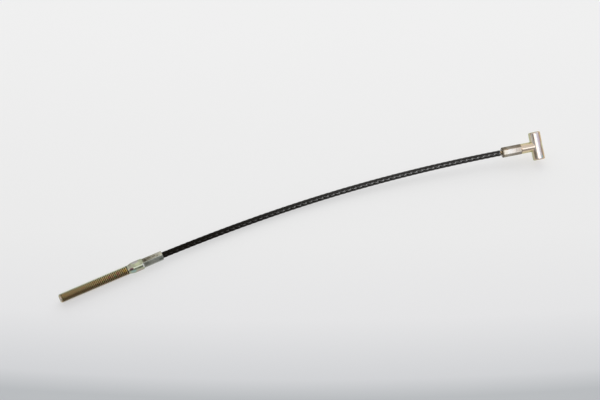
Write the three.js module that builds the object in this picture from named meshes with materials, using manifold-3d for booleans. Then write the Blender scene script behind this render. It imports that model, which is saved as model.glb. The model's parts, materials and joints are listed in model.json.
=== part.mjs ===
// A short wire-rope pull cable. One end of a black coated wire rope is crimped into a threaded
// stud, and the other end is crimped into a T-bar fitting that hooks behind a slot.
// Millimetres, +Z up. The origin is the centre of the stud's tip face, and +X runs along the stud
// into the rope. The rope bends towards -Y, dips onto the floor it rests on, and rises to the T-bar.
import * as THREE from "three";
import { mergeVertices } from "three/addons/utils/BufferGeometryUtils.js";
import Module from "manifold-3d";

// Driving dimensions: millimetres, and degrees where the name says so.
const THREAD = { radius: 3.97, depth: 0.8, pitch: 1.411, length: 57.4, chamfer: 1.0, sides: 14 };
const COLLAR = { radius: 4.5, coneLength: 3.6, length: 8.9, chamfer: 0.8 };
const STUD_HEX = { acrossFlats: 7.2, length: 16.5, cornerDeg: 113, chamfer: 0.4 };
const T_HEX = { acrossFlats: 7.8, length: 16.4, cornerDeg: 100, chamfer: 0.4 };
const STEM = { radius: 4.38, length: 9.1 };
const CROSSBAR = { radius: 5.1, length: 24.0, chamfer: 1.0, rollDeg: 33 };
const ROPE = { turnDeg: 15.8, freeChord: 298.0, startSlope: -0.028, endSlope: 0.053, rise: 5.0 };
const REACH_SHARE = 0.357; // how far the curve's control points stand off, as a share of the chord
const LAY = { length: 29.4, outerStrands: 6, centreRadius: 1.1, strandRadius: 0.45, coreRadius: 0.48 };
const COAT = { outerRadius: 2.5, innerRadius: 1.75, bareNeck: 1.6 };
const SOCKET = { radius: 1.9, depth: 15.8, ropeDepth: 15.3 };
const FLEX = { pieces: 7, gap: 1.2 };

const ROUND_SIDES = 24;
const COAT_SIDES = 12;
const STRAND_SIDES = 6;
const STEPS_PER_LAY = 8;
const COAT_STEPS = 5;
const OVERRUN = 2; // how far a cutting or joining solid runs past the face it meets
const JOIN = 0.5; // how deep one solid of a fitting starts inside the one before it
const STRAND_LETTERS = "abcdef";

const radians = THREE.MathUtils.degToRad;

// Where each section of the stud starts along +X.
const CONE_START = THREAD.length;
const COLLAR_START = CONE_START + COLLAR.coneLength;
const STUD_HEX_START = COLLAR_START + COLLAR.length;
const STUD_LENGTH = STUD_HEX_START + STUD_HEX.length;

const wasm = await Module();
wasm.setup();

// Materials

function finish(color, roughness, metalness) {
  return new THREE.MeshStandardMaterial({ color, roughness, metalness });
}

const YELLOW_ZINC = finish(0xb5ad8e, 0.35, 1);
const BLACK_PLASTIC = finish(0x17140f, 0.45, 0);
const STEEL_WIRE = finish(0x9c9788, 0.4, 1);

// Solids

function solidOf(geometry) {
  const bare = geometry.clone();
  bare.deleteAttribute("normal");
  bare.deleteAttribute("uv");
  const merged = mergeVertices(bare, 1e-4);
  const vertProperties = merged.attributes.position.array;
  const triVerts = new Uint32Array(merged.index.array);
  return new wasm.Manifold(new wasm.Mesh({ numProp: 3, vertProperties, triVerts }));
}

function geometryOf(solid) {
  const mesh = solid.getMesh();
  const geometry = new THREE.BufferGeometry();
  geometry.setAttribute("position", new THREE.BufferAttribute(mesh.vertProperties, 3));
  geometry.setIndex(new THREE.BufferAttribute(mesh.triVerts, 1));
  geometry.computeVertexNormals();
  return geometry;
}

// A solid turned about the X axis from [x, radius] points.
function turned(points, sides = ROUND_SIDES) {
  const first = points[0];
  const last = points[points.length - 1];
  const outline = [[first[0], 0], ...points, [last[0], 0]];
  const profile = outline.map(([x, radius]) => new THREE.Vector2(radius, x));
  return new THREE.LatheGeometry(profile, sides).rotateZ(-Math.PI / 2);
}

// A hexagonal bar along +X with chamfered ends, one of its corners at cornerDeg from +Y towards +Z.
function hexBar({ acrossFlats, length, cornerDeg, chamfer }, start) {
  const corner = acrossFlats / Math.sqrt(3);
  const bar = new THREE.CylinderGeometry(corner, corner, length, 6);
  bar.rotateZ(-Math.PI / 2).rotateX(radians(cornerDeg)).translate(start + length / 2, 0, 0);
  const cone = turned([
    [start - OVERRUN, corner],
    [start + length - chamfer, corner],
    [start + length, corner - chamfer],
  ]);
  return solidOf(bar).intersect(solidOf(cone));
}

function socket(mouth, depth, direction) {
  const ends = [mouth + direction * OVERRUN, mouth - direction * depth];
  const [low, high] = ends.sort((a, b) => a - b);
  return solidOf(turned([[low, SOCKET.radius], [high, SOCKET.radius]], COAT_SIDES));
}

// A right-hand thread along +X as a closed surface. Rows of points alternate between crest and
// root, and each turn lifts a row by one pitch, so the seam joins row n to row n + 2.
function helicalThread(from, to) {
  const { radius, depth, pitch, sides } = THREAD;
  const rows = 2 * Math.ceil((to - from) / pitch);
  const points = [];
  for (let side = 0; side < sides; side++) {
    const angle = (side / sides) * 2 * Math.PI;
    for (let row = 0; row <= rows + 2; row++) {
      const x = from + (row / 2 + side / sides - 1) * pitch;
      const r = row % 2 ? radius - depth : radius;
      points.push(x, r * Math.cos(angle), r * Math.sin(angle));
    }
  }
  const column = rows + 3;
  const at = (side, row) => (side < sides ? side * column + row : row + 2);
  const faces = [];
  for (let side = 0; side < sides; side++) {
    for (let row = 0; row < rows; row++) {
      const [low, lowNext] = [at(side, row), at(side + 1, row)];
      const [high, highNext] = [at(side, row + 1), at(side + 1, row + 1)];
      faces.push(low, lowNext, highNext, low, highNext, high);
    }
  }
  closeThreadEnd(points, faces, at, 0, from - pitch, sides, 1);
  closeThreadEnd(points, faces, at, rows, from + (rows / 2) * pitch, sides, -1);
  const geometry = new THREE.BufferGeometry();
  geometry.setAttribute("position", new THREE.Float32BufferAttribute(points, 3));
  geometry.setIndex(faces);
  return geometry;
}

// A fan from a point on the axis to the helical rim of one end, and down the step at the seam.
function closeThreadEnd(points, faces, at, row, x, sides, direction) {
  const centre = points.length / 3;
  points.push(x, 0, 0);
  const rim = [];
  for (let side = 0; side <= sides; side++) rim.push(at(side, row));
  rim.push(at(0, row + 1));
  rim.forEach((corner, i) => {
    const next = rim[(i + 1) % rim.length];
    if (direction > 0) faces.push(centre, next, corner);
    else faces.push(centre, corner, next);
  });
}

// The rope's centreline: straight inside each socket, and one cubic curve between the two mouths
// that leaves each fitting along its axis.

const TURN = radians(ROPE.turnDeg);
const STUD_MOUTH = new THREE.Vector3(STUD_LENGTH, 0, 0);
const CHORD_ANGLE = -TURN / 2;
const SLEEVE_MOUTH = new THREE.Vector3(
  STUD_LENGTH + ROPE.freeChord * Math.cos(CHORD_ANGLE),
  ROPE.freeChord * Math.sin(CHORD_ANGLE),
  ROPE.rise,
);
const START_DIRECTION = new THREE.Vector3(1, 0, ROPE.startSlope).normalize();
const END_DIRECTION = new THREE.Vector3(Math.cos(TURN), -Math.sin(TURN), ROPE.endSlope).normalize();
const UP = new THREE.Vector3(0, 0, 1);

function makeRopePath() {
  const reach = ROPE.freeChord * REACH_SHARE;
  const inStud = new THREE.Vector3(STUD_LENGTH - SOCKET.ropeDepth, 0, 0);
  const inSleeve = SLEEVE_MOUTH.clone().addScaledVector(END_DIRECTION, SOCKET.ropeDepth);
  const path = new THREE.CurvePath();
  path.add(new THREE.LineCurve3(inStud, STUD_MOUTH));
  path.add(
    new THREE.CubicBezierCurve3(
      STUD_MOUTH,
      STUD_MOUTH.clone().addScaledVector(START_DIRECTION, reach),
      SLEEVE_MOUTH.clone().addScaledVector(END_DIRECTION, -reach),
      SLEEVE_MOUTH,
    ),
  );
  path.add(new THREE.LineCurve3(SLEEVE_MOUTH, inSleeve));
  return path;
}

const ROPE_PATH = makeRopePath();
const ROPE_LENGTH = ROPE_PATH.getLength();
const FREE_LENGTH = ROPE_LENGTH - 2 * SOCKET.ropeDepth;

// The point, and the directions along, left of and above the rope, at a distance from the stud's
// mouth. The distance is negative inside the stud.
function ropeFrame(distance) {
  const share = THREE.MathUtils.clamp((distance + SOCKET.ropeDepth) / ROPE_LENGTH, 0, 1);
  const point = ROPE_PATH.getPoint(share);
  const along = ROPE_PATH.getTangent(share);
  const left = new THREE.Vector3().crossVectors(UP, along).normalize();
  const above = new THREE.Vector3().crossVectors(along, left);
  return { point, along, left, above };
}

// A line that winds round the rope's centreline with a right-hand lay.
class StrandCurve extends THREE.Curve {
  constructor(from, to, radius, phase) {
    super();
    Object.assign(this, { from, to, radius, phase });
  }

  getPoint(share, target = new THREE.Vector3()) {
    const distance = THREE.MathUtils.lerp(this.from, this.to, share);
    const angle = this.phase + (distance / LAY.length) * 2 * Math.PI;
    const { point, left, above } = ropeFrame(distance);
    target.copy(point);
    target.addScaledVector(left, this.radius * Math.cos(angle));
    return target.addScaledVector(above, this.radius * Math.sin(angle));
  }
}

function disc(radius, sides) {
  const corners = [];
  for (let i = 0; i < sides; i++) {
    const angle = (i / sides) * 2 * Math.PI;
    corners.push(new THREE.Vector2(radius * Math.cos(angle), radius * Math.sin(angle)));
  }
  return new THREE.Shape(corners);
}

function swept(shape, curve, steps) {
  return new THREE.ExtrudeGeometry(shape, { steps, bevelEnabled: false, extrudePath: curve });
}

function makeStrand(from, to, phase) {
  const steps = Math.ceil(((to - from) / LAY.length) * STEPS_PER_LAY);
  const curve = new StrandCurve(from, to, LAY.centreRadius, phase);
  return swept(disc(LAY.strandRadius, STRAND_SIDES), curve, steps);
}

function makeCoreStrand(from, to) {
  return swept(disc(LAY.coreRadius, STRAND_SIDES), new StrandCurve(from, to, 0, 0), COAT_STEPS);
}

function makeCoat(from, to) {
  const ring = disc(COAT.outerRadius, COAT_SIDES);
  ring.holes.push(disc(COAT.innerRadius, COAT_SIDES));
  return swept(ring, new StrandCurve(from, to, 0, 0), COAT_STEPS);
}

// Fittings

function makeThreadedStud() {
  const { radius, chamfer } = THREAD;
  const threadEnvelope = turned([
    [0, radius - chamfer],
    [chamfer + JOIN, radius + JOIN],
    [CONE_START, radius + JOIN],
    [CONE_START + JOIN, radius],
  ]);
  const collar = turned([
    [CONE_START - JOIN, radius - chamfer / 2],
    [CONE_START, radius - chamfer / 2],
    [COLLAR_START, COLLAR.radius],
    [STUD_HEX_START - COLLAR.chamfer, COLLAR.radius],
    [STUD_HEX_START, COLLAR.radius - COLLAR.chamfer],
  ]);
  const hex = { ...STUD_HEX, length: STUD_HEX.length + JOIN };
  return solidOf(helicalThread(0, CONE_START + JOIN))
    .intersect(solidOf(threadEnvelope))
    .add(solidOf(collar))
    .add(hexBar(hex, STUD_HEX_START - JOIN))
    .subtract(socket(STUD_LENGTH, SOCKET.depth, 1));
}

// The T-bar fitting runs along its own +X from the sleeve's mouth to the crossbar's centre.
function makeTBar() {
  const stemEnd = T_HEX.length + STEM.length + CROSSBAR.radius;
  const stem = turned([[T_HEX.length - JOIN, STEM.radius], [stemEnd, STEM.radius]]);
  const half = CROSSBAR.length / 2;
  const crossbar = turned([
    [-half, CROSSBAR.radius - CROSSBAR.chamfer],
    [-half + CROSSBAR.chamfer, CROSSBAR.radius],
    [half - CROSSBAR.chamfer, CROSSBAR.radius],
    [half, CROSSBAR.radius - CROSSBAR.chamfer],
  ]);
  crossbar.rotateZ(Math.PI / 2).rotateX(radians(CROSSBAR.rollDeg)).translate(stemEnd, 0, 0);
  const sleeve = hexBar(T_HEX, 0);
  return sleeve.add(solidOf(stem)).add(solidOf(crossbar)).subtract(socket(0, SOCKET.depth, -1));
}

// Assembly

const cable = new THREE.Group();

function place(name, geometry, material, group = cable) {
  const mesh = new THREE.Mesh(geometry, material);
  mesh.name = name;
  group.add(mesh);
}

place("threaded_stud", geometryOf(makeThreadedStud()), YELLOW_ZINC);

const sleeveFrame = ropeFrame(FREE_LENGTH);
const tBarGroup = new THREE.Group();
tBarGroup.position.copy(sleeveFrame.point);
tBarGroup.quaternion.setFromRotationMatrix(
  new THREE.Matrix4().makeBasis(sleeveFrame.along, sleeveFrame.left, sleeveFrame.above),
);
cable.add(tBarGroup);
place("t_bar", geometryOf(makeTBar()), YELLOW_ZINC, tBarGroup);

// The rope bends at the gaps between its pieces. The first and last pieces run into the sockets.
const PIECE_LENGTH = FREE_LENGTH / FLEX.pieces;
for (let piece = 1; piece <= FLEX.pieces; piece++) {
  const isFirst = piece === 1;
  const isLast = piece === FLEX.pieces;
  const from = (piece - 1) * PIECE_LENGTH + FLEX.gap / 2;
  const to = piece * PIECE_LENGTH - FLEX.gap / 2;
  const wireFrom = isFirst ? -SOCKET.ropeDepth : from;
  const wireTo = isLast ? FREE_LENGTH + SOCKET.ropeDepth : to;
  const coatTo = isLast ? FREE_LENGTH - COAT.bareNeck : to;
  place(`coat_${piece}`, makeCoat(from, coatTo), BLACK_PLASTIC);
  place(`core_strand_${piece}`, makeCoreStrand(wireFrom, wireTo), STEEL_WIRE);
  for (let i = 0; i < LAY.outerStrands; i++) {
    const phase = (i / LAY.outerStrands) * 2 * Math.PI;
    place(`strand_${STRAND_LETTERS[i]}_${piece}`, makeStrand(wireFrom, wireTo, phase), STEEL_WIRE);
  }
}

export default cable;
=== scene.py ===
"""The looks of a short wire-rope pull cable: plated threaded stud, coated rope and plated T-bar.

Lengths named here are in millimetres and are turned into metres by MM when a mesh is made. A place
on a fitting is (along, height). Along is the distance from the fitting's origin. Height is -1 at the
edge that the camera sees as the lower or left one, and 1 at the opposite edge.
"""
import json
import math

import bpy
import numpy as np
from mathutils import Matrix, Vector

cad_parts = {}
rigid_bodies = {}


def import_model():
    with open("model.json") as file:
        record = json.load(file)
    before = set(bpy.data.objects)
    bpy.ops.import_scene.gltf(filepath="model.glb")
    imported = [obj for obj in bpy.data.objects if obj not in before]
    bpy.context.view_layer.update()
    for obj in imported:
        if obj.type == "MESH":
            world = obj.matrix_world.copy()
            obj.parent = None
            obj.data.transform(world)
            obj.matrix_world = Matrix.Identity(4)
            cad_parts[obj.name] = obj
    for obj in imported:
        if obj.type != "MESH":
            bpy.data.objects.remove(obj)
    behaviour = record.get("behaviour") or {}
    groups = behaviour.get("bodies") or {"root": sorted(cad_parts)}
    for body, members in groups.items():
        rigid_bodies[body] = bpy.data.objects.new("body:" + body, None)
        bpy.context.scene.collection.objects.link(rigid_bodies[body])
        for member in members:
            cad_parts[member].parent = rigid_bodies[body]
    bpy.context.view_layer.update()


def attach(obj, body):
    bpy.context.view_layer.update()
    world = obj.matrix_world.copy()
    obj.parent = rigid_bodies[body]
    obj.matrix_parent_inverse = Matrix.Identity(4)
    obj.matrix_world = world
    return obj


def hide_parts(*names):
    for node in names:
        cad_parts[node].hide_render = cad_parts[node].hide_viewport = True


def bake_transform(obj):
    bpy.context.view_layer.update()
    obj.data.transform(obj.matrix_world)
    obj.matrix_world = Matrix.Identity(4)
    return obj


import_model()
MM = 0.001
FULL_TURN = 2 * math.pi

# The threaded stud, along +X from its tip.
TIP_FLAT_RADIUS = 2.1
TIP_LENGTH = 1.6
TIP_EDGE_RADIUS = 3.5
LEAD_IN_SLOPE = 0.9
LEAD_IN_ROUNDING = 0.1
THREAD_RADIUS = 3.97
THREAD_DEPTH = 0.82
THREAD_PITCH = 1.411
CREST_HALF_WIDTH = 0.09
FLANK_LENGTH = 0.5
THREAD_END = 57.4
THREAD_FADE_START = THREAD_END - 2.6
THREAD_FADE_END = THREAD_END - 0.6
SHANK_RADIUS = 3.55
COLLAR_START = 61.0
COLLAR_RADIUS = 4.5
COLLAR_ROUNDING = 0.25
COLLAR_END = 69.9
STUD_FLATS = 7.2
STUD_CORNER = math.radians(113)
STUD_BEVEL = 0.3
STUD_LENGTH = 86.4
CONE_END = COLLAR_START + 1.2
SHOULDER_START = COLLAR_END - 0.9
SHOULDER_END = COLLAR_END + 0.5
STUD_BEVEL_START = STUD_LENGTH - 0.35

# The T-bar fitting, along its own +X from the sleeve's mouth.
SLEEVE_BEVEL = 0.35
SLEEVE_BEVEL_END = 0.5
SLEEVE_FLATS = 7.8
SLEEVE_SWELL = 0.06
SLEEVE_CORNER = math.radians(100)
SLEEVE_LENGTH = 16.4
SLEEVE_SHOULDER_START = SLEEVE_LENGTH - 0.6
SLEEVE_SHOULDER_END = SLEEVE_LENGTH + 1.0
STEM_START = SLEEVE_LENGTH + 1.2
STEM_RADIUS = 4.38
STEM_LENGTH = 9.1
BAR_RADIUS = 5.1
BAR_LENGTH = 24.0
BAR_EDGE = 1.2
BAR_ROLL = math.radians(33)
BAR_CENTRE = SLEEVE_LENGTH + STEM_LENGTH + BAR_RADIUS
JUNCTION_FILLET = 0.15

# The rope.
TURN = math.radians(15.8)
CHORD = 298.0
START_SLOPE = -0.028
END_SLOPE = 0.053
RISE = 5.0
REACH_SHARE = 0.357
LAY = 29.4
STRANDS = 6
STRAND_CENTRE = 1.08
STRAND_RADIUS = 0.53
CORE_RADIUS = 0.53
WIRE_LAY = 12.0
WIRE_VALLEY = 0.14
COAT_RADIUS = 2.5
COAT_BORE = 1.7
STRAND_RELIEF = 0.16
WIRE_RELIEF = 0.012
BARE_NECK = 1.6
MOUTH_GAP = 0.12
SOCKET_RADIUS = 1.9
SOCKET_BEVEL = 0.25
SOCKET_DEPTH = 15.8
ROPE_DEPTH = 15.3
PIECES = 7

# How finely the meshes are divided, and the angle from which an edge looks sharp.
FITTING_SIDES = 96
COAT_SIDES = 108
COAT_STEP = 0.9
STRAND_SIDES = 30
STRAND_STEP = 1.0
LINE_STEPS = 4001
CREASE_ANGLE = math.radians(35)
TIP_RINGS = 12
THREAD_STEP = THREAD_PITCH / 16
DENTED_STEP = 0.25
EVEN_STEP = 0.8
SHOULDER_STEP = 0.1
SLEEVE_SHOULDER_STEP = 0.12
BEVEL_STEP = 0.07
FILLET_RINGS = 10
BAR_EDGE_RINGS = 8
BAR_STEP = 1.2

# The dies' marks on the crimped lengths: along, angle round the fitting, size and depth. An angle
# from a mark counts as a distance at DENT_RADIUS.
DENT_RADIUS = 3.1
STUD_DENTS = [
    (74.0, STUD_CORNER - 0.5, 0.95, 0.11),
    (74.8, STUD_CORNER - 0.25, 0.65, 0.08),
    (76.7, STUD_CORNER - 0.6, 0.85, 0.07),
    (82.8, STUD_CORNER - 0.45, 0.75, 0.10),
    (84.6, STUD_CORNER - 0.2, 0.55, 0.07),
    (79.6, STUD_CORNER + 0.5, 1.7, 0.05),
    (75.2, STUD_CORNER + 2.6, 1.3, 0.07),
    (81.8, STUD_CORNER + 3.6, 1.1, 0.08),
    (77.9, STUD_CORNER + 4.7, 1.2, 0.07),
]
SLEEVE_DENTS = [
    (3.5, SLEEVE_CORNER + 0.9, 0.9, 0.05),
    (9.0, SLEEVE_CORNER + 0.3, 1.4, 0.05),
    (12.5, SLEEVE_CORNER + 0.7, 0.9, 0.06),
    (6.0, SLEEVE_CORNER + 2.5, 1.3, 0.07),
    (11.0, SLEEVE_CORNER + 3.7, 1.0, 0.06),
    (4.0, SLEEVE_CORNER + 4.8, 1.2, 0.07),
]

# The camera, and the directions on the floor as it sees them.
CAMERA_PLACE = (-4.98, -418.99, 693.59)
CAMERA_AZIMUTH = math.radians(-27.17)
CAMERA_ELEVATION = math.radians(56)
FOCAL_SHARE = 1010 / 600
BACK = Vector((math.sin(-CAMERA_AZIMUTH), math.cos(CAMERA_AZIMUTH), 0))
RIGHT = Vector((BACK.y, -BACK.x, 0))
UP = Vector((0, 0, 1))

# The floor, a sheet of paper with a painted glow, and with painted shade that sets its tone from the
# front of the picture to the back.
FLOOR_REACH = 6000.0
FLOOR_Z = -COLLAR_RADIUS - 0.02
PAPER_WHITE = (0.48, 0.48, 0.48, 1)
PAPER_PAINTED_GLOW = 0.594
PAPER_SIDE_SHADE = 0.12
PAPER_FALLOFF_SHADE_STOPS = [
    (0.0, (0.58, 0.60, 0.62)),
    (0.05, (0.76, 0.77, 0.79)),
    (0.2, (0.92, 0.92, 0.93)),
    (0.4, (0.97, 0.97, 0.97)),
    (0.9, (1.0, 1.0, 1.0)),
]

# The lamps face MIDDLE, near the middle of the object. These lengths are in metres.
MIDDLE = Vector((0.21, -0.03, 0))
KEY_LAMP = {"direction": 1.2 * BACK + UP, "distance": 1.4, "size": (1.8, 1.0), "radiance": 0.7}
SHEEN_DIRECTION = 0.71 * UP + 0.48 * RIGHT - 0.51 * BACK
SHEEN_LAMP = {"direction": SHEEN_DIRECTION, "distance": 0.8, "size": (0.32, 0.33), "radiance": 11.0}

# The studio as the plating mirrors it. Four numbers are a range of a direction's share and the levels
# that it leads to, and three are a window's ends and the width of its soft edges.
BACKDROP = (0.83, 0.83, 0.83, 1)
AMBIENT = (-0.3, 0.5, 0.2, 0.75)
ROOM_DIRECTION = UP + 0.35 * BACK
ROOM = (0.25, 0.8, 0.45, 0.95)
LEFT_DIM = (-0.9, -0.5, 0.9, 1.0)
RIGHT_GAIN = (0.5, 0.8, 1.0, 1.3)
SOFTBOX = 1.35
SOFTBOX_ACROSS = (-0.5, 0.8, 0.1)
SOFTBOX_FORWARD = (-1.3, -0.55, 0.12)
SOFTBOX_TINTED = (-0.7, 1.0)
LOWEST_HEIGHT = 0.05
SOFTBOX_TINTS = [
    (0.0, (1.0, 0.70, 0.50)),
    (0.2, (1.0, 0.86, 0.76)),
    (0.36, (1.0, 0.99, 1.0)),
    (0.7, (0.95, 0.98, 1.05)),
    (1.0, (0.78, 0.90, 1.08)),
]


# ---------------------------------------------------------------- meshes

def smoothstep(low, high, x):
    t = np.clip((np.asarray(x, float) - low) / (high - low), 0, 1)
    return t * t * (3 - 2 * t)


def soft_min(a, b, width):
    """The smaller of a and b, rounded where they are within width of each other."""
    h = np.clip(0.5 + 0.5 * (b - a) / width, 0, 1)
    return b + (a - b) * h - width * h * (1 - h)


def spaced(start, end, step):
    return np.linspace(start, end, max(2, round((end - start) / step) + 1))


def round_angles(sides, first=0.0):
    return first + np.arange(sides) * FULL_TURN / sides


def around(angles, first, second):
    """Directions at angles from the first direction towards the second."""
    return np.cos(angles)[..., None] * first + np.sin(angles)[..., None] * second


def turned_rings(rows, angles):
    """Rings round +X from rows of (x, radius), where each is one number or one for every angle."""
    rings = []
    for x, radius in rows:
        x, radius = np.broadcast_to(x, angles.shape), np.broadcast_to(radius, angles.shape)
        rings.append(np.stack([x, radius * np.cos(angles), radius * np.sin(angles)], 1))
    return np.array(rings)


def hexagon(angles, flats, corner, rounding=0.09):
    """The radius of a hexagon with rounded corners, one of them at the angle named corner."""
    sixth = math.pi / 3
    off_corner = np.abs((angles - corner + sixth / 2) % sixth - sixth / 2)
    sharp = flats / 2 / np.cos(sixth / 2 - off_corner)
    return soft_min(sharp, flats / math.sqrt(3) - rounding, 2 * rounding)


def ring_faces(low, high, sides):
    """The faces between two rings, whose points are numbered from low and from high."""
    here = np.arange(sides)
    there = (here + 1) % sides
    return list(zip(low + here, low + there, high + there, high + here))


def shade_smooth(mesh):
    mesh.polygons.foreach_set("use_smooth", [True] * len(mesh.polygons))
    mesh.set_sharp_from_angle(angle=CREASE_ANGLE)


def add_piece(name, points, faces, material):
    mesh = bpy.data.meshes.new(name)
    mesh.from_pydata((points * MM).tolist(), [], [tuple(int(i) for i in face) for face in faces])
    mesh.validate()
    shade_smooth(mesh)
    mesh.materials.append(material)
    piece = bpy.data.objects.new(name, mesh)
    bpy.context.scene.collection.objects.link(piece)
    return piece


def closed_body(name, rings, material):
    """One closed body from rings of points, closed at both ends by a fan."""
    count, sides = rings.shape[:2]
    points = np.concatenate([rings.reshape(-1, 3), rings[:1].mean(1), rings[-1:].mean(1)])
    faces = []
    for row in range(count - 1):
        faces += ring_faces(row * sides, (row + 1) * sides, sides)
    here = np.arange(sides)
    there = (here + 1) % sides
    end = (count - 1) * sides
    first_centre, last_centre = count * sides, count * sides + 1
    faces += zip([first_centre] * sides, there, here)
    faces += zip([last_centre] * sides, end + here, end + there)
    return add_piece(name, points, faces, material)


def tube(name, outer, inner, material):
    """A closed tube from matching rings of an outer and an inner skin."""
    loop = np.concatenate([outer, inner[::-1]])
    rings, sides = loop.shape[:2]
    faces = []
    for row in range(rings):
        faces += ring_faces(row * sides, (row + 1) % rings * sides, sides)
    return add_piece(name, loop.reshape(-1, 3), faces, material)


def add_union(base, tool):
    """Joins tool into base as one closed body."""
    modifier = base.modifiers.new("join", "BOOLEAN")
    modifier.operation = "UNION"
    modifier.solver = "EXACT"
    modifier.object = tool
    bpy.context.view_layer.update()
    evaluated = base.evaluated_get(bpy.context.evaluated_depsgraph_get())
    joined = bpy.data.meshes.new_from_object(evaluated)
    base.modifiers.clear()
    base.data = joined
    bpy.data.objects.remove(tool)


def set_materials(mesh, materials, pick):
    """Gives each face the material that pick returns for the x and the radius of its centre."""
    mesh.materials.clear()
    for material in materials:
        mesh.materials.append(material)
    for face in mesh.polygons:
        x, y, z = face.center / MM
        face.material_index = materials.index(pick(x, math.hypot(y, z)))


# ---------------------------------------------------------------- the rope's centreline

def rope_line():
    """Points, directions and distances along the free rope, from the stud's mouth to the sleeve's."""
    start = np.array([STUD_LENGTH, 0, 0])
    end = start + [CHORD * math.cos(TURN / 2), -CHORD * math.sin(TURN / 2), RISE]
    along_start = np.array([1, 0, START_SLOPE])
    along_end = np.array([math.cos(TURN), -math.sin(TURN), END_SLOPE])
    reach = CHORD * REACH_SHARE
    a = start
    b = start + reach * along_start / np.linalg.norm(along_start)
    c = end - reach * along_end / np.linalg.norm(along_end)
    t = np.linspace(0, 1, LINE_STEPS)[:, None]
    points = (1 - t) ** 3 * a + 3 * (1 - t) ** 2 * t * b + 3 * (1 - t) * t ** 2 * c + t ** 3 * end
    tangents = (1 - t) ** 2 * (b - a) + 2 * (1 - t) * t * (c - b) + t ** 2 * (end - c)
    tangents /= np.linalg.norm(tangents, axis=1)[:, None]
    steps = np.linalg.norm(np.diff(points, axis=0), axis=1)
    return points, tangents, np.concatenate([[0], np.cumsum(steps)])


LINE_POINTS, LINE_TANGENTS, LINE_DISTANCES = rope_line()
FREE_LENGTH = LINE_DISTANCES[-1]
PIECE_LENGTH = FREE_LENGTH / PIECES


def along_line(distances, values):
    """The values at distances along the line, column by column."""
    return np.stack([np.interp(distances, LINE_DISTANCES, values[:, i]) for i in range(3)], 1)


def rope_frame(distances):
    """Centre points and the directions along, left and above, at distances from the stud's mouth."""
    distances = np.atleast_1d(np.asarray(distances, float))
    inside = np.clip(distances, 0, FREE_LENGTH)
    along = along_line(inside, LINE_TANGENTS)
    along[distances < 0] = (1, 0, 0)
    along /= np.linalg.norm(along, axis=1)[:, None]
    centre = along_line(inside, LINE_POINTS) + (distances - inside)[:, None] * along
    left = np.cross((0, 0, 1), along)
    left /= np.linalg.norm(left, axis=1)[:, None]
    return centre, along, left, np.cross(along, left)


def edge_direction(axis, place):
    """At right angles to an axis, the direction of its upper or right edge as the camera sees it."""
    sight = (Vector(place) - Vector(CAMERA_PLACE) * MM).normalized()
    edge = Vector(axis).cross(sight).normalized()
    return edge if edge.dot(BACK + RIGHT) > 0 else -edge


# Where the fittings lie: the origin, the axis and the edge direction of each.
SLEEVE_CENTRE, SLEEVE_ALONG, SLEEVE_LEFT, SLEEVE_ABOVE = (v[0] for v in rope_frame(FREE_LENGTH))
SLEEVE_PLACE = Vector(SLEEVE_CENTRE * MM)
BAR_PLACE = Vector((SLEEVE_CENTRE + BAR_CENTRE * SLEEVE_ALONG) * MM)
BAR_AXIS = Vector(math.cos(BAR_ROLL) * SLEEVE_LEFT + math.sin(BAR_ROLL) * SLEEVE_ABOVE)
STUD_PART = (Vector(), Vector((1, 0, 0)), edge_direction((1, 0, 0), (STUD_LENGTH * MM / 2, 0, 0)))
SLEEVE_PART = (SLEEVE_PLACE, Vector(SLEEVE_ALONG), edge_direction(SLEEVE_ALONG, SLEEVE_PLACE))
BAR_PART = (BAR_PLACE, BAR_AXIS, edge_direction(BAR_AXIS, BAR_PLACE))


# ---------------------------------------------------------------- shader nodes

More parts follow.
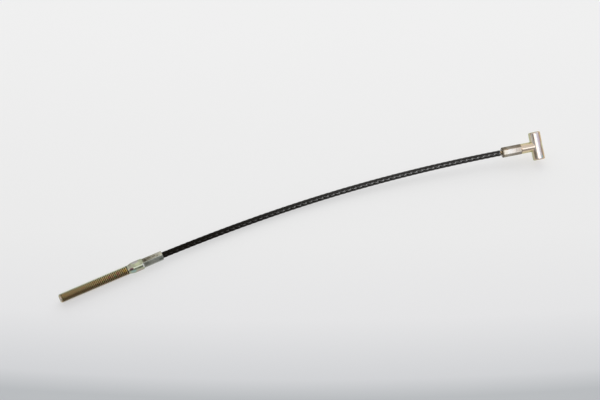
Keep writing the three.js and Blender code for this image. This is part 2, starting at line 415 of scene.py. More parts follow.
class Graph:
    """The nodes of a material or of the world. A node's input is a plain value or another's output."""

    def __init__(self, tree):
        self.nodes, self.links = tree.nodes, tree.links

    def fill(self, node, inputs):
        """Sets or links inputs of a node, each by its name or number."""
        for key, value in inputs.items():
            if isinstance(value, bpy.types.NodeSocket):
                self.links.new(value, node.inputs[key])
            else:
                node.inputs[key].default_value = value
        return node

    def add(self, kind, inputs, **settings):
        node = self.nodes.new(kind)
        for name, value in settings.items():
            setattr(node, name, value)
        return self.fill(node, inputs)

    def coordinates(self, kind):
        return self.nodes.new("ShaderNodeTexCoord").outputs[kind]

    def noise(self, place, scale, detail=4.0, roughness=0.55):
        inputs = {"Vector": place, "Scale": scale, "Detail": detail, "Roughness": roughness}
        return self.add("ShaderNodeTexNoise", inputs).outputs["Fac"]

    def ramp(self, source, stops):
        node = self.add("ShaderNodeValToRGB", {"Fac": source})
        elements = node.color_ramp.elements
        while len(elements) < len(stops):
            elements.new(0.5)
        for element, (position, colour) in zip(elements, stops):
            element.position = position
            element.color = (*colour, 1)
        return node.outputs["Color"]

    def mix(self, factor, a, b, blend="MIX"):
        """A mix of two colours. The numbers are the colour sockets of a node with many kinds."""
        inputs = {0: factor, 6: a, 7: b}
        return self.add("ShaderNodeMix", inputs, data_type="RGBA", blend_type=blend).outputs[2]

    def spread(self, source, low, high):
        """Spreads a source of 0 to 1 evenly over low to high."""
        inputs = {"Value": source, "To Min": low, "To Max": high}
        return self.add("ShaderNodeMapRange", inputs).outputs["Result"]

    def ease(self, source, low, high, start=0.0, end=1.0):
        """Goes smoothly from start to end while the source goes from low to high."""
        inputs = {"Value": source, "From Min": low, "From Max": high, "To Min": start, "To Max": end}
        node = self.add("ShaderNodeMapRange", inputs, interpolation_type="SMOOTHSTEP")
        return node.outputs["Result"]

    def window(self, source, low, high, edge):
        """One where the source lies between low and high, falling to zero over edge on both sides."""
        rising = self.ease(source, low - edge, low + edge)
        falling = self.ease(source, high - edge, high + edge, 1.0, 0.0)
        return self.maths("MULTIPLY", rising, falling)

    def maths(self, operation, a, b):
        return self.add("ShaderNodeMath", {0: a, 1: b}, operation=operation).outputs[0]

    def vectors(self, operation, *values):
        inputs = dict(enumerate(values))
        return self.add("ShaderNodeVectorMath", inputs, operation=operation).outputs["Vector"]

    def dot(self, a, b):
        node = self.add("ShaderNodeVectorMath", {0: a, 1: b}, operation="DOT_PRODUCT")
        return node.outputs["Value"]

    def scaled(self, vector, factor):
        inputs = {0: vector, "Scale": factor}
        return self.add("ShaderNodeVectorMath", inputs, operation="SCALE").outputs["Vector"]

    def grey(self, level):
        return self.add("ShaderNodeCombineXYZ", {0: level, 1: level, 2: level}).outputs[0]

    def bump(self, height, distance, strength=1.0, normal=None):
        inputs = {"Height": height, "Distance": distance * MM, "Strength": strength}
        if normal is not None:
            inputs["Normal"] = normal
        return self.add("ShaderNodeBump", inputs).outputs["Normal"]


def shader(name):
    material = bpy.data.materials.new(name)
    material.use_nodes = True
    return material, Graph(material.node_tree), material.node_tree.nodes["Principled BSDF"]


def position_on(graph, place, part):
    """How far along a part a point is, in millimetres, and its height on the side the camera sees."""
    origin, axis, edge = part
    offset = graph.vectors("SUBTRACT", place, origin)
    along = graph.dot(offset, axis)
    inwards = graph.vectors("SUBTRACT", graph.scaled(axis, along), offset)
    height = graph.dot(graph.vectors("NORMALIZE", inwards), -edge)
    return graph.maths("DIVIDE", along, MM), height


def add_stains_and_painted_light(graph, colour, position, marks):
    """Small stains in the plating, and painted highlights and reflections, each an oval with soft
    edges.
    """
    for along, height, length, width, tint in marks:
        square = 0.0
        for source, centre, size in ((position[0], along, length), (position[1], height, width)):
            share = graph.maths("DIVIDE", graph.maths("SUBTRACT", source, centre), size)
            square = graph.maths("ADD", square, graph.maths("MULTIPLY", share, share))
        colour = graph.mix(graph.ease(square, 0.4, 1.4, 1.0, 0.0), colour, (*tint, 1))
    return colour


# ---------------------------------------------------------------- materials

# Noise scales, in features to the metre.
DRIFT_SCALE = 260
TOOL_LINE_SCALE = 420
SCUFF_SCALE = 700
PATCH_SCALE = 900
FLECK_SCALE = 1100
GLOSS_SCALE = 1500
WIRE_SCALE = 1800
COAT_GRAIN_SCALE = 4200
GRAIN_SCALE = 5200

# The depths of fine surface grain.
BRIGHT_GRAIN = 0.002
DULL_GRAIN = 0.003
CRIMP_GRAIN = 0.006
TOOL_LINE_DEPTH = 0.008
COAT_GRAIN = 0.006

# Roughness, from the glossiest patch to the dullest.
BRIGHT_GLOSS = (0.10, 0.17)
COLLAR_GLOSS = (0.12, 0.20)
THREAD_GLOSS = (0.29, 0.36)
STUD_CRIMP_GLOSS = (0.18, 0.30)
SLEEVE_CRIMP_GLOSS = (0.12, 0.22)
COAT_GLOSS = (0.08, 0.20)
WIRE_GLOSS = (0.28, 0.45)

# Where one kind of plating gives way to the next, and where the painted shade of the thread's grooves
# begins.
TIP_FACE_END = TIP_LENGTH * 0.8
SHADED_GROOVE_RADIUS = THREAD_RADIUS - 0.45 * THREAD_DEPTH
COLLAR_ZINC_START = THREAD_END - 0.4
CRIMP_START = COLLAR_END - 0.1
SLEEVE_ZINC_END = SLEEVE_LENGTH + 0.2
STEM_ZINC_RADIUS = STEM_RADIUS + 0.05

# How much of the film's colour comes from patches, and how far it drifts from place to place.
PATCH_SHARE = 0.45
DRIFT = 0.14

# Ranges of height, or of a direction's share, and where four are given the levels they lead to.
BAR_SIDES = (-0.25, 0.25)
THREAD_GREENING = (0.45, 0.95)
# painted light and shade on the thread: lighter towards its upper edge, darker towards its lower one
THREAD_PAINTED_LIGHT = (-0.5, 0.5, 0.62, 1.25)
CRIMP_FLATS = (0.1, 0.2)

# The coat's specular level: from and to, in metres along X, and the levels there.
COAT_SHINE = (0.10, 0.28, 0.06, 0.6)

# How bright the thread is outside its grooves and inside them: painted light on the crests and painted
# shade in the grooves.
CREST_PAINTED_LIGHT = 1.45
GROOVE_PAINTED_SHADE = 0.14

# Stains, painted highlights and painted reflections: along, height, length, width and colour.
THREAD_MARKS = [
    # painted highlight: a bright glint where the thread runs out
    (57.0, 0.28, 1.2, 0.3, (1.0, 0.92, 0.74)),
    (54.2, 0.12, 1.6, 0.4, (0.60, 0.44, 0.14)),
    (48.6, 0.1, 0.8, 0.3, (0.42, 0.20, 0.16)),
    (46.0, -0.1, 0.7, 0.3, (0.30, 0.42, 0.24)),
    (41.0, 0.1, 0.8, 0.3, (0.50, 0.24, 0.20)),
    (36.0, -0.3, 1.0, 0.3, (0.44, 0.44, 0.18)),
]
COLLAR_MARKS = [
    (59.4, -0.12, 2.0, 0.24, (0.10, 0.06, 0.07)),
    (59.2, 0.62, 1.3, 0.4, (0.36, 0.34, 0.28)),
    (65.2, 0.35, 2.4, 0.3, (0.52, 0.55, 0.38)),
    (60.6, -0.62, 2.4, 0.25, (0.34, 0.46, 0.42)),
    (64.0, 0.8, 3.0, 0.25, (0.46, 0.44, 0.42)),
    # painted reflection: a dark line below the collar's bright strip
    (66.8, -0.42, 2.2, 0.14, (0.24, 0.26, 0.20)),
    (69.5, -0.3, 0.7, 0.4, (0.74, 0.74, 0.76)),
    (65.4, -0.85, 3.0, 0.15, (0.50, 0.42, 0.38)),
]
CRIMP_MARKS = [
    (72.0, 0.5, 1.3, 0.3, (0.09, 0.08, 0.06)),
    (75.4, 0.66, 1.8, 0.12, (0.12, 0.10, 0.08)),
    (79.6, 0.62, 1.6, 0.12, (0.16, 0.14, 0.11)),
    (82.4, 0.45, 0.8, 0.16, (0.20, 0.19, 0.15)),
    (85.2, 0.45, 1.0, 0.4, (0.56, 0.54, 0.44)),
    (84.6, -0.55, 2.0, 0.2, (0.18, 0.20, 0.18)),
    (72.6, -0.3, 2.0, 0.25, (0.22, 0.23, 0.20)),
]
SLEEVE_MARKS = [
    (2.6, 0.8, 2.0, 0.2, (0.22, 0.18, 0.13)),
    (9.0, 0.82, 2.0, 0.12, (0.24, 0.20, 0.16)),
    (9.8, -0.78, 3.0, 0.14, (0.22, 0.20, 0.17)),
    (3.8, 0.42, 2.4, 0.1, (0.46, 0.34, 0.24)),
    (14.6, -0.7, 1.4, 0.2, (0.28, 0.26, 0.24)),
]
BAR_MARKS = [
    # painted highlight: a bright strip on the crossbar's left side
    (6.8, -0.46, 4.6, 0.17, (1.0, 0.95, 0.82)),
    # painted reflection of shade: a dark patch low on the left, where the shaded floor is mirrored
    (-7.0, -0.42, 4.0, 0.2, (0.42, 0.37, 0.26)),
    # painted reflection: a narrow dark line beside the painted highlight
    (7.6, -0.24, 3.4, 0.07, (0.34, 0.24, 0.20)),
    (-9.6, 0.62, 1.6, 0.12, (0.42, 0.56, 0.56)),
    (-4.0, 0.72, 5.0, 0.16, (0.50, 0.40, 0.34)),
    (4.0, 0.55, 5.0, 0.10, (0.62, 0.52, 0.62)),
]


def tool_lines(graph, place, normal):
    """Fine lines across the flats, left by the crimping dies."""
    inputs = {"Vector": place, "Scale": TOOL_LINE_SCALE, "Distortion": 1.5}
    lines = graph.add("ShaderNodeTexWave", inputs, bands_direction="DIAGONAL").outputs["Fac"]
    return graph.bump(lines, TOOL_LINE_DEPTH, 0.6, normal)


def plated(name, film, patch_stops, gloss, grain, crimped=False):
    """Zinc plating with a thin chromate film. The function film gives the film's colour at a point,
    which on some parts holds painted light and shade.
    """
    material, graph, surface = shader(name)
    place = graph.coordinates("Object")
    patches = graph.ramp(graph.noise(place, PATCH_SCALE, 5), patch_stops)
    normal = graph.bump(graph.noise(place, GRAIN_SCALE), grain)
    graph.fill(surface, {
        "Base Color": graph.mix(PATCH_SHARE, film(graph, place), patches, "MULTIPLY"),
        "Metallic": 1,
        "Roughness": graph.spread(graph.noise(place, GLOSS_SCALE), *gloss),
        "Normal": tool_lines(graph, place, normal) if crimped else normal,
    })
    return material


def film_by_angle(graph, place, stops):
    """A film whose colour shifts with the viewing angle, and drifts from place to place."""
    facing = graph.add("ShaderNodeLayerWeight", {"Blend": 0.5}).outputs["Facing"]
    drift = graph.maths("MULTIPLY", graph.noise(place, DRIFT_SCALE, 3), DRIFT)
    return graph.ramp(graph.maths("ADD", facing, drift), stops)


def bright_plating():
    """The crossbar and the stud's tip: silver, with a rosy and golden side and an olive one, and on the
    crossbar stains, a painted highlight and painted reflections.
    """
    left_stops = [
        (0.1, (0.67, 0.63, 0.60)),
        (0.25, (0.62, 0.44, 0.33)),
        (0.4, (0.52, 0.48, 0.34)),
        (0.6, (0.54, 0.56, 0.34)),
        (0.9, (0.56, 0.60, 0.42)),
    ]
    right_stops = [
        (0.1, (0.66, 0.64, 0.66)),
        (0.25, (0.64, 0.58, 0.62)),
        (0.4, (0.70, 0.54, 0.46)),
        (0.6, (0.70, 0.50, 0.24)),
        (0.9, (0.72, 0.54, 0.30)),
    ]
    patch_stops = [(0.35, (0.78, 0.74, 0.66)), (0.5, (1.0, 1.0, 0.97)), (0.68, (0.86, 0.84, 0.92))]

    def film(graph, place):
        side = graph.ease(graph.dot(graph.coordinates("Normal"), RIGHT), *BAR_SIDES)
        left = film_by_angle(graph, place, left_stops)
        right = film_by_angle(graph, place, right_stops)
        position = position_on(graph, place, BAR_PART)
        return add_stains_and_painted_light(graph, graph.mix(side, left, right), position, BAR_MARKS)

    return plated("bright_zinc", film, patch_stops, BRIGHT_GLOSS, BRIGHT_GRAIN)


def stem_plating():
    film_stops = [
        (0.1, (0.66, 0.57, 0.48)),
        (0.25, (0.68, 0.55, 0.42)),
        (0.4, (0.70, 0.60, 0.38)),
        (0.7, (0.68, 0.66, 0.44)),
    ]
    patch_stops = [(0.35, (0.84, 0.76, 0.66)), (0.5, (1.0, 1.0, 0.95)), (0.68, (0.92, 0.84, 0.86))]

    def film(graph, place):
        return film_by_angle(graph, place, film_stops)

    return plated("stem_zinc", film, patch_stops, BRIGHT_GLOSS, BRIGHT_GRAIN)


def collar_plating():
    film_stops = [
        (0.1, (0.38, 0.39, 0.29)),
        (0.3, (0.42, 0.44, 0.31)),
        (0.5, (0.42, 0.47, 0.34)),
        (0.9, (0.50, 0.52, 0.42)),
    ]
    patch_stops = [(0.35, (0.80, 0.76, 0.74)), (0.5, (1.0, 1.0, 0.93)), (0.66, (0.84, 0.92, 0.90))]

    def film(graph, place):
        colour = film_by_angle(graph, place, film_stops)
        return add_stains_and_painted_light(graph, colour, position_on(graph, place, STUD_PART), COLLAR_MARKS)

    return plated("collar_zinc", film, patch_stops, COLLAR_GLOSS, DULL_GRAIN)


def thread_plating(name, shade):
    """Golden film with red and green flecks, greener near the top edge, with painted light that makes
    it lighter above and painted shade that makes it darker below.
    """
    fleck_stops = [
        (0.36, (0.52, 0.25, 0.17)),
        (0.45, (0.56, 0.38, 0.20)),
        (0.54, (0.50, 0.43, 0.23)),
        (0.64, (0.33, 0.42, 0.22)),
    ]
    top_green = (0.40, 0.46, 0.34, 1)
    patch_stops = [(0.35, (0.80, 0.68, 0.50)), (0.5, (1.0, 0.97, 0.85)), (0.68, (0.86, 0.72, 0.66))]

    def film(graph, place):
        flecks = graph.ramp(graph.noise(place, FLECK_SCALE, 3, 0.75), fleck_stops)
        along, height = position_on(graph, place, STUD_PART)
        colour = graph.mix(graph.ease(height, *THREAD_GREENING), flecks, top_green)
        colour = add_stains_and_painted_light(graph, colour, (along, height), THREAD_MARKS)
        # painted light and shade by height, times the crest's painted light or the groove's painted
        # shade
        level = graph.maths("MULTIPLY", graph.ease(height, *THREAD_PAINTED_LIGHT), shade)
        return graph.scaled(colour, level)

    return plated(name, film, patch_stops, THREAD_GLOSS, DULL_GRAIN)


def crimped_plating(name, film, gloss):
    """Plating that the crimping dies have dulled."""
    patch_stops = [(0.32, (0.45, 0.42, 0.38)), (0.46, (0.92, 0.90, 0.86)), (0.7, (1.0, 0.99, 0.97))]
    return plated(name, film, patch_stops, gloss, CRIMP_GRAIN, crimped=True)


def stud_crimp():
    """The stud's hexagon: a warm upper flat that is dark at the collar, and a cooler lower one."""
    upper_stops = [
        (0.0, (0.19, 0.18, 0.135)),
        (0.35, (0.27, 0.26, 0.205)),
        (0.7, (0.38, 0.37, 0.30)),
        (1.0, (0.46, 0.45, 0.38)),
    ]
    lower_stops = [(0.0, (0.30, 0.31, 0.27)), (0.5, (0.38, 0.39, 0.35)), (1.0, (0.33, 0.35, 0.32))]

    def film(graph, place):
        along, height = position_on(graph, place, STUD_PART)
        share = graph.ease(along, COLLAR_END, STUD_LENGTH)
        upper, lower = graph.ramp(share, upper_stops), graph.ramp(share, lower_stops)
        colour = graph.mix(graph.ease(height, *CRIMP_FLATS), lower, upper)
        return add_stains_and_painted_light(graph, colour, (along, height), CRIMP_MARKS)

    return crimped_plating("stud_crimp_zinc", film, STUD_CRIMP_GLOSS)


def sleeve_crimp():
    """The T-bar's hexagon sleeve: dark at its mouth from painted shade, and browner towards the stem.
    """
    film_stops = [
        (0.12, (0.55, 0.52, 0.48)),
        (0.3, (0.50, 0.42, 0.35)),
        (0.5, (0.33, 0.30, 0.25)),
        (0.9, (0.35, 0.32, 0.26)),
    ]
    # painted shade: dark at the mouth's rim, then a level and tint along the sleeve
    mouth_shade_and_tone_stops = [
        (0.0, (0.30, 0.26, 0.20)),
        (0.03, (1.0, 0.95, 0.85)),
        (0.25, (1.0, 1.0, 1.0)),
        (0.55, (0.98, 0.95, 0.93)),
        (0.95, (0.72, 0.66, 0.60)),
    ]

    def film(graph, place):
        along, height = position_on(graph, place, SLEEVE_PART)
        level = graph.ramp(graph.ease(along, 0, SLEEVE_LENGTH), mouth_shade_and_tone_stops)
        colour = graph.mix(1.0, film_by_angle(graph, place, film_stops), level, "MULTIPLY")
        return add_stains_and_painted_light(graph, colour, (along, height), SLEEVE_MARKS)

    return crimped_plating("sleeve_crimp_zinc", film, SLEEVE_CRIMP_GLOSS)


def black_coat():
    """Black plastic, glossier towards the T-bar."""
    material, graph, surface = shader("black_coat")
    place = graph.coordinates("Object")
    scuffs = graph.noise(place, SCUFF_SCALE, 6, 0.7)
    graph.fill(surface, {
        "Base Color": graph.ramp(scuffs, [(0.3, (0.011, 0.009, 0.006)), (0.75, (0.016, 0.013, 0.009))]),
        "Roughness": graph.spread(scuffs, *COAT_GLOSS),
        "Specular IOR Level": graph.ease(graph.dot(place, (1, 0, 0)), *COAT_SHINE),
        "IOR": 1.33,
        "Normal": graph.bump(graph.noise(place, COAT_GRAIN_SCALE, 3), COAT_GRAIN),
    })
    return material


def steel_wire():
    material, graph, surface = shader("steel_wire")
    tone = graph.noise(graph.coordinates("Object"), WIRE_SCALE)
    graph.fill(surface, {
        "Base Color": graph.ramp(tone, [(0.3, (0.34, 0.24, 0.13)), (0.7, (0.60, 0.48, 0.32))]),
        "Metallic": 1,
        "Roughness": graph.spread(tone, *WIRE_GLOSS),
    })
    return material


BRIGHT_ZINC = bright_plating()
COLLAR_ZINC = collar_plating()
# the thread's crests carry painted light and its grooves painted shade
THREAD_ZINC_PAINTED_LIGHT = thread_plating("thread_zinc_painted_light", CREST_PAINTED_LIGHT)
GROOVE_ZINC_PAINTED_SHADE = thread_plating("groove_zinc_painted_shade", GROOVE_PAINTED_SHADE)
STUD_CRIMP = stud_crimp()
SLEEVE_CRIMP = sleeve_crimp()
STEM_ZINC = stem_plating()
BLACK_COAT = black_coat()
STEEL_WIRE = steel_wire()


# ---------------------------------------------------------------- the fittings

def thread_radius(x, angles):
    """A rolled right-hand thread whose grooves fade out at the collar."""
    turns = x / THREAD_PITCH - angles / FULL_TURN
    from_crest = np.abs(turns - np.round(turns)) * THREAD_PITCH
    flank = np.clip((from_crest - CREST_HALF_WIDTH) / FLANK_LENGTH, 0, 1)
    drop = THREAD_DEPTH * (0.35 * flank + 0.65 * flank ** 2 * (3 - 2 * flank))
    fade = smoothstep(THREAD_FADE_END, THREAD_FADE_START, x)
    return THREAD_RADIUS - drop * fade - (THREAD_RADIUS - SHANK_RADIUS) * (1 - fade)


def socket_rows(mouth, outer, inwards):
    """The end face of a socket, the small bevel of its mouth, its wall and its floor."""
    inner = SOCKET_RADIUS + SOCKET_BEVEL
    rows = [(mouth, outer * (1 - share) + inner * share) for share in (0.3, 0.65, 1.0)]
    for share in (0.5, 1.0):
        rows.append((mouth + inwards * SOCKET_BEVEL * share, inner - SOCKET_BEVEL * share))
    rows += [(mouth + inwards * depth, SOCKET_RADIUS) for depth in (2, 6, 10, SOCKET_DEPTH)]
    return rows


def dents(x, angles, places):
    """How deep the crimping dies' marks are at x, for every angle."""
    depth = 0.0
    for at, angle, size, deep in places:
        off_angle = np.angle(np.exp(1j * (angles - angle)))
        away = ((x - at) / size) ** 2 + (off_angle * DENT_RADIUS / size) ** 2
        depth = depth + deep * np.exp(-away)
    return depth


def stud_outer(x, angles):
    """The stud's outer radius at x, for every angle."""
    if x < TIP_LENGTH:
        rise = x / TIP_LENGTH
        return TIP_FLAT_RADIUS + (TIP_EDGE_RADIUS - TIP_FLAT_RADIUS) * math.sqrt(rise * (2 - rise))
    if x < THREAD_END:
        lead_in = TIP_EDGE_RADIUS + LEAD_IN_SLOPE * (x - TIP_LENGTH)
        return soft_min(thread_radius(x, angles), lead_in, LEAD_IN_ROUNDING)
    if x < CONE_END:
        share = (x - THREAD_END) / (COLLAR_START - THREAD_END)
        cone = SHANK_RADIUS + (COLLAR_RADIUS - SHANK_RADIUS) * share
        return soft_min(cone, COLLAR_RADIUS, COLLAR_ROUNDING)
    if x < SHOULDER_START:
        return COLLAR_RADIUS
    flats = hexagon(angles, STUD_FLATS, STUD_CORNER) - dents(x, angles, STUD_DENTS)
    shoulder = smoothstep(SHOULDER_START, SHOULDER_END, x)
    bevel = STUD_BEVEL * smoothstep(STUD_BEVEL_START, STUD_LENGTH, x)
    return COLLAR_RADIUS + (flats - COLLAR_RADIUS) * shoulder - bevel


def stud_material(x, radius):
    if x > CRIMP_START:
        return STUD_CRIMP
    if x < TIP_FACE_END:
        return BRIGHT_ZINC
    if x > COLLAR_ZINC_START:
        return COLLAR_ZINC
    # faces deep in the thread's grooves get painted shade
    return GROOVE_ZINC_PAINTED_SHADE if radius < SHADED_GROOVE_RADIUS else THREAD_ZINC_PAINTED_LIGHT


def make_stud():
    angles = round_angles(FITTING_SIDES, STUD_CORNER)
    stations = np.concatenate([
        TIP_LENGTH * np.linspace(0, 1, TIP_RINGS) ** 2,
        spaced(TIP_LENGTH, THREAD_END, THREAD_STEP)[1:],
        spaced(THREAD_END, CONE_END, DENTED_STEP)[1:],
        spaced(CONE_END, SHOULDER_START, EVEN_STEP)[1:],
        spaced(SHOULDER_START, SHOULDER_END, SHOULDER_STEP)[1:],
        spaced(SHOULDER_END, STUD_BEVEL_START, DENTED_STEP)[1:],
        spaced(STUD_BEVEL_START, STUD_LENGTH, BEVEL_STEP)[1:],
    ])
    rows = [(0, TIP_FLAT_RADIUS * share) for share in (0.3, 0.65)]
    rows += [(x, stud_outer(x, angles)) for x in stations]
    rows += socket_rows(STUD_LENGTH, rows[-1][1], -1)
    stud = closed_body("threaded_stud_plated", turned_rings(rows, angles), THREAD_ZINC_PAINTED_LIGHT)
    materials = (THREAD_ZINC_PAINTED_LIGHT, COLLAR_ZINC, STUD_CRIMP, GROOVE_ZINC_PAINTED_SHADE, BRIGHT_ZINC)
    set_materials(stud.data, materials, stud_material)
    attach(stud, "stud_end")
    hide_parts("threaded_stud")


def stem_rows(angles):
    """The stem and the fillet that runs onto the crossbar, whose axis is at the angle BAR_ROLL."""
    across_bar = np.sin(angles - BAR_ROLL)

    def bar_face(radius):
        return BAR_CENTRE - np.sqrt(BAR_RADIUS ** 2 - (radius * across_bar) ** 2)

    stem_end = BAR_CENTRE - BAR_RADIUS - JUNCTION_FILLET
    rows = [(x, STEM_RADIUS) for x in spaced(STEM_START, stem_end, EVEN_STEP)[1:-1]]
    for turn in np.linspace(0, math.pi / 2, FILLET_RINGS):
        radius = STEM_RADIUS + JUNCTION_FILLET * (1 - math.cos(turn))
        rows.append((bar_face(radius) - JUNCTION_FILLET * (1 - math.sin(turn)), radius))
    deepest = STEM_RADIUS + JUNCTION_FILLET
    for share in (0.35, 1.0):
        inside = bar_face(deepest) * (1 - share) + BAR_CENTRE * share
        rows.append((inside, deepest - 0.9 * share))
    return rows


def sleeve_outer(x, angles):
    """The outer radius of the T-bar's sleeve at x, for every angle."""
    swell = SLEEVE_SWELL * math.sin(math.pi * min(1, x / SLEEVE_LENGTH))
    flats = hexagon(angles, SLEEVE_FLATS + swell, SLEEVE_CORNER)
    flats = flats - dents(x, angles, SLEEVE_DENTS)
    shoulder = smoothstep(SLEEVE_SHOULDER_START, SLEEVE_SHOULDER_END, x)
    bevel = SLEEVE_BEVEL * smoothstep(SLEEVE_BEVEL_END, 0, x)
    return flats + (STEM_RADIUS - flats) * shoulder - bevel


def make_crossbar():
    """A round bar with rounded ends, across the end of the stem."""
    half = BAR_LENGTH / 2
    end_radius = BAR_RADIUS - BAR_EDGE
    edge = []
    for turn in np.linspace(0, math.pi / 2, BAR_EDGE_RINGS):
        edge.append((BAR_EDGE * (1 - math.cos(turn)), BAR_RADIUS - BAR_EDGE * (1 - math.sin(turn))))
    rows = [(-half, end_radius * share) for share in (0.3, 0.7)]
    rows += [(-half + inwards, radius) for inwards, radius in edge]
    rows += [(x, BAR_RADIUS) for x in spaced(-half + BAR_EDGE, half - BAR_EDGE, BAR_STEP)[1:-1]]
    rows += [(half - inwards, radius) for inwards, radius in edge[::-1]]
    rows += [(half, end_radius * share) for share in (0.7, 0.3)]
    bar = closed_body("crossbar", turned_rings(rows, round_angles(FITTING_SIDES)), BRIGHT_ZINC)
    turn = Matrix.Rotation(BAR_ROLL, 4, "X") @ Matrix.Rotation(math.pi / 2, 4, "Z")
    bar.data.transform(Matrix.Translation((BAR_CENTRE * MM, 0, 0)) @ turn)
    return bar


def t_bar_material(x, radius):
    if x < SLEEVE_ZINC_END:
        return SLEEVE_CRIMP
    return STEM_ZINC if radius < STEM_ZINC_RADIUS else BRIGHT_ZINC


def make_t_bar():
    angles = round_angles(FITTING_SIDES, SLEEVE_CORNER)
    stations = np.concatenate([
        spaced(0, SLEEVE_BEVEL_END, SHOULDER_STEP),
        spaced(SLEEVE_BEVEL_END, SLEEVE_SHOULDER_START, DENTED_STEP)[1:],
        spaced(SLEEVE_SHOULDER_START, STEM_START, SLEEVE_SHOULDER_STEP)[1:],
    ])
    outer = [(x, sleeve_outer(x, angles)) for x in stations]
    rows = socket_rows(0, outer[0][1], 1)[::-1] + outer + stem_rows(angles)
    t_bar = closed_body("t_bar_plated", turned_rings(rows, angles), BRIGHT_ZINC)
    add_union(t_bar, make_crossbar())
    shade_smooth(t_bar.data)
    set_materials(t_bar.data, (BRIGHT_ZINC, SLEEVE_CRIMP, STEM_ZINC), t_bar_material)
    columns = (SLEEVE_ALONG, SLEEVE_LEFT, SLEEVE_ABOVE, SLEEVE_CENTRE * MM)
    rows = np.stack(columns, 1).tolist() + [[0, 0, 0, 1]]
    t_bar.data.transform(Matrix(rows))
    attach(t_bar, "t_bar_end")
    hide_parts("t_bar")


# ---------------------------------------------------------------- the rope

def coat_rings(start, end):
    """The rings of the coat's outer skin, which shows the strands and their wires, and of its bore."""
    distances = spaced(start, end, COAT_STEP)
    centre, _, left, above = rope_frame(distances)
    columns = round_angles(COAT_SIDES)
    valley = 0.5 - 0.5 * np.cos(STRANDS * columns)
    wires = 0.5 - 0.5 * np.cos(3 * STRANDS * columns)
    skin = COAT_RADIUS - STRAND_RELIEF * valley - WIRE_RELIEF * wires
    angles = columns[None] + (distances * FULL_TURN / LAY)[:, None]
    spokes = around(angles, left[:, None], above[:, None])
    outer = centre[:, None] + skin[None, :, None] * spokes
    inner = centre[:, None] + COAT_BORE * spokes
    return outer, inner


def strand_rings(start, end, phase, centre_radius, radius):
    """One strand: six wires wound left-handed round a seventh, and wound right-handed with the rope."""
    distances = spaced(start, end, STRAND_STEP)
    centre, along, left, above = rope_frame(distances)
    out = around(phase + distances * FULL_TURN / LAY, left, above)
    side = np.cross(along, out)
    tilt = math.atan(FULL_TURN * centre_radius / LAY)
    across = side * math.cos(tilt) - along * math.sin(tilt)
    columns = round_angles(STRAND_SIDES)
    section = radius * (1 - WIRE_VALLEY * (1 - np.abs(np.cos(3 * columns))))
    angles = columns[None] - (distances * FULL_TURN / WIRE_LAY)[:, None]
    spokes = around(angles, out[:, None], across[:, None])
    return (centre + centre_radius * out)[:, None] + section[None, :, None] * spokes


def bend_with_rope(piece, joint, prefix):
    """Bakes the piece's place into its mesh, and hides the two CAD lengths that it stands in for."""
    start, end = rope_frame([(joint - 0.5) * PIECE_LENGTH, (joint + 0.5) * PIECE_LENGTH])[0] * MM
    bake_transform(piece)
    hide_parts(f"{prefix}_{joint}", f"{prefix}_{joint + 1}")


def make_rope():
    """Each stretch of rope runs from the middle of one CAD length to the middle of the next."""
    for joint in range(1, PIECES):
        first, last = joint == 1, joint == PIECES - 1
        start, end = (joint - 0.5) * PIECE_LENGTH, (joint + 0.5) * PIECE_LENGTH
        coat_start = MOUTH_GAP if first else start
        coat_end = FREE_LENGTH - BARE_NECK if last else end
        coat = tube(f"coat_stretch_{joint}", *coat_rings(coat_start, coat_end), BLACK_COAT)
        bend_with_rope(coat, joint, "coat")
        start = -ROPE_DEPTH if first else start
        end = FREE_LENGTH + ROPE_DEPTH if last else end
        rings = strand_rings(start, end, 0, 0, CORE_RADIUS)
        core = closed_body(f"core_strand_stretch_{joint}", rings, STEEL_WIRE)
        bend_with_rope(core, joint, "core_strand")
        for i, letter in enumerate("abcdef"):
            phase = i * FULL_TURN / STRANDS
            rings = strand_rings(start, end, phase, STRAND_CENTRE, STRAND_RADIUS)
            strand = closed_body(f"strand_{letter}_stretch_{joint}", rings, STEEL_WIRE)
            bend_with_rope(strand, joint, f"strand_{letter}")


# ---------------------------------------------------------------- stage, light and camera

def paper():
    """Paper with a painted glow, so that the shadows stay weak, and with painted shade that darkens it
    towards the front.
    """
    material, graph, surface = shader("paper")
    screen = graph.add("ShaderNodeSeparateXYZ", {0: graph.coordinates("Window")}).outputs
    # painted shade: the paper is darker towards the bottom of the picture and towards its sides
    aside = graph.maths("SUBTRACT", screen["X"], 0.5)
    drop = graph.maths("MULTIPLY", graph.maths("MULTIPLY", aside, aside), PAPER_SIDE_SHADE)
    tone = graph.ramp(graph.maths("SUBTRACT", screen["Y"], drop), PAPER_FALLOFF_SHADE_STOPS)
    graph.fill(surface, {
        "Base Color": graph.mix(1.0, tone, PAPER_WHITE, "MULTIPLY"),
        # painted glow: the paper gives off light in its own tone, so that shadows stay weak
        "Emission Color": tone,
        "Emission Strength": PAPER_PAINTED_GLOW,
        "Roughness": 0.9,
        "Specular IOR Level": 0.1,
    })
    return material


def make_floor():
    mesh = bpy.data.meshes.new("floor")
    reach = FLOOR_REACH * MM
    corners = [(x * reach, y * reach, FLOOR_Z * MM) for x, y in ((-1, -1), (1, -1), (1, 1), (-1, 1))]
    mesh.from_pydata(corners, [], [(0, 1, 2, 3)])
    mesh.materials.append(paper())
    floor = bpy.data.objects.new("floor", mesh)
    bpy.context.scene.collection.objects.link(floor)


def add_lamp(name, direction, distance, size, radiance):
    """A soft lamp that faces the middle of the object from a direction, with a given radiance."""
    data = bpy.data.lights.new(name, "AREA")
    data.shape = "RECTANGLE"
    data.size, data.size_y = size
    data.energy = radiance * math.pi * size[0] * size[1]
    lamp = bpy.data.objects.new(name, data)
    lamp.location = MIDDLE + direction.normalized() * distance
    lamp.rotation_euler = (MIDDLE - lamp.location).to_track_quat("-Z", "Y").to_euler()
    bpy.context.scene.collection.objects.link(lamp)
    return lamp


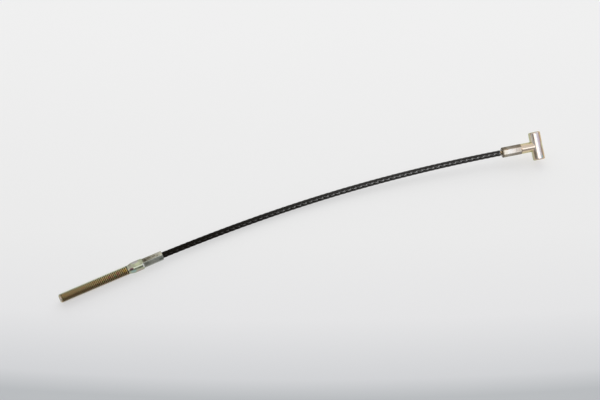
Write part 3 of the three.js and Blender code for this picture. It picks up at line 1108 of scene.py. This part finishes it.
def studio_reflections(graph, direction):
    """A pale room, dim at the front and sides, and a long softbox above the front."""
    to_right = graph.dot(direction, RIGHT)
    room = graph.ease(graph.dot(direction, ROOM_DIRECTION), *ROOM)
    dimmed = graph.maths("MULTIPLY", room, graph.ease(to_right, *LEFT_DIM))
    dimmed = graph.maths("MULTIPLY", dimmed, graph.ease(to_right, *RIGHT_GAIN))
    above = graph.maths("MAXIMUM", graph.dot(direction, UP), LOWEST_HEIGHT)
    rightness = graph.maths("DIVIDE", to_right, above)
    backness = graph.maths("DIVIDE", graph.dot(direction, BACK), above)
    across = graph.window(rightness, *SOFTBOX_ACROSS)
    forward = graph.window(backness, *SOFTBOX_FORWARD)
    softbox = graph.maths("MULTIPLY", graph.maths("MULTIPLY", across, forward), SOFTBOX)
    tint = graph.ramp(graph.ease(rightness, *SOFTBOX_TINTED), SOFTBOX_TINTS)
    return graph.mix(1.0, graph.grey(dimmed), graph.scaled(tint, softbox), "ADD")


def make_world():
    """The camera sees a plain backdrop, the plating mirrors the studio, and the rest is ambient."""
    world = bpy.data.worlds.new("studio")
    bpy.context.scene.world = world
    world.use_nodes = True
    graph = Graph(world.node_tree)
    direction = graph.coordinates("Generated")
    ambient = graph.grey(graph.ease(graph.dot(direction, BACK), *AMBIENT))
    ray = graph.nodes.new("ShaderNodeLightPath").outputs
    lit = graph.mix(ray["Is Glossy Ray"], ambient, studio_reflections(graph, direction))
    seen = graph.mix(ray["Is Camera Ray"], lit, BACKDROP)
    graph.fill(graph.nodes["Background"], {"Color": seen, "Strength": 1})


def make_light():
    make_world()
    add_lamp("key", **KEY_LAMP).visible_glossy = False
    sheen = add_lamp("sheen", **SHEEN_LAMP)
    sheen.visible_diffuse = False
    coats = bpy.data.collections.new("coats")
    for piece in bpy.data.objects:
        if piece.name.startswith("coat_"):
            coats.objects.link(piece)
    sheen.light_linking.receiver_collection = coats


def make_camera():
    data = bpy.data.cameras.new("camera")
    data.lens = FOCAL_SHARE * data.sensor_width
    data.clip_start = 0.01
    camera = bpy.data.objects.new("camera", data)
    camera.location = Vector(CAMERA_PLACE) * MM
    camera.rotation_euler = (math.pi / 2 - CAMERA_ELEVATION, 0, CAMERA_AZIMUTH)
    bpy.context.scene.collection.objects.link(camera)
    bpy.context.scene.camera = camera


make_stud()
make_t_bar()
make_rope()
make_floor()
make_light()
make_camera()
bpy.context.scene.view_settings.view_transform = "Standard"
